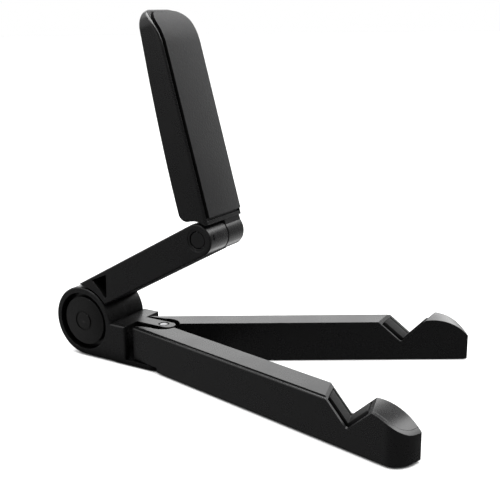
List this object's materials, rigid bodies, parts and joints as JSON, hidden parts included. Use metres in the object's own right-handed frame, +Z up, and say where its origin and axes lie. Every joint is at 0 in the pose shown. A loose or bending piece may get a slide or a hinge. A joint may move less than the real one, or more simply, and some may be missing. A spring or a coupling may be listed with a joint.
{
  "type": "folding photo album stand",
  "caption": "Folding A-frame stand with spread legs notched for an album's edge and a jointed arm with a soft-faced paddle that props its back.",
  "frame": {"origin": "on the table plane, on the axis of the upright leg pin, at the centre of the rubber disc under the pin", "axes": "+X from the hub towards the legs' notched ends, along the folded bar; +Z up from the table; the arm and the paddle swing in the XZ plane; the near side is -Y"},
  "size_m": [0.1897, 0.1193, 0.157],
  "materials": {
    "black_plastic": "fine satin moulding",
    "gloss_cap": "polished",
    "pad_rubber": "soft, finely grained",
    "foot_rubber": "smooth",
    "friction_sheet": "plain sheet",
    "steel": "zinc plated"
  },
  "bodies": {
    "base": {"hub_base": "black_plastic", "hub_cap_near": "gloss_cap", "hub_bolt": "steel", "hub_nut": "steel", "hub_spring_washer": "steel", "hub_friction_disc": "friction_sheet", "hub_foot_pad": "foot_rubber", "leg_pivot_pin": "steel", "leg_pivot_washers": "friction_sheet"},
    "near_leg": {"near_leg_body": "black_plastic", "near_leg_cover": "black_plastic", "near_notch_pad": "pad_rubber", "near_leg_foot": "foot_rubber"},
    "far_leg": {"far_leg_body": "black_plastic", "far_leg_cover": "black_plastic", "far_notch_pad": "pad_rubber", "far_leg_foot": "foot_rubber"},
    "arm": {"arm_near_shell": "black_plastic", "arm_far_shell": "black_plastic", "arm_screws": "steel", "hub_cap_far": "gloss_cap", "hinge_bolt": "steel", "hinge_nut": "steel", "hinge_spring_washer": "steel", "hinge_friction_disc": "friction_sheet", "hinge_cap_near": "black_plastic"},
    "paddle": {"paddle_shell": "black_plastic", "paddle_plate": "black_plastic", "paddle_pad": "pad_rubber", "paddle_screws": "steel", "hinge_cap_far": "black_plastic"}
  },
  "joints": [
    {"name": "near_leg_swing", "type": "hinge", "parent": "base", "child": "near_leg", "pos_m": [0, 0, 0], "axis": [0, 0, 1], "range_deg": [-19.4, 12]},
    {"name": "far_leg_swing", "type": "hinge", "parent": "base", "child": "far_leg", "pos_m": [0, 0, 0], "axis": [0, 0, 1], "range_deg": [-31.4, 0]},
    {"name": "arm_tilt", "type": "hinge", "parent": "base", "child": "arm", "pos_m": [-0.0375, 0, 0.017], "axis": [0, 1, 0], "range_deg": [-91.2, 28]},
    {"name": "paddle_tilt", "type": "hinge", "parent": "arm", "child": "paddle", "pos_m": [0.02884, 0, 0.06426], "axis": [0, 1, 0], "range_deg": [-15, 76.4]}
  ]
}
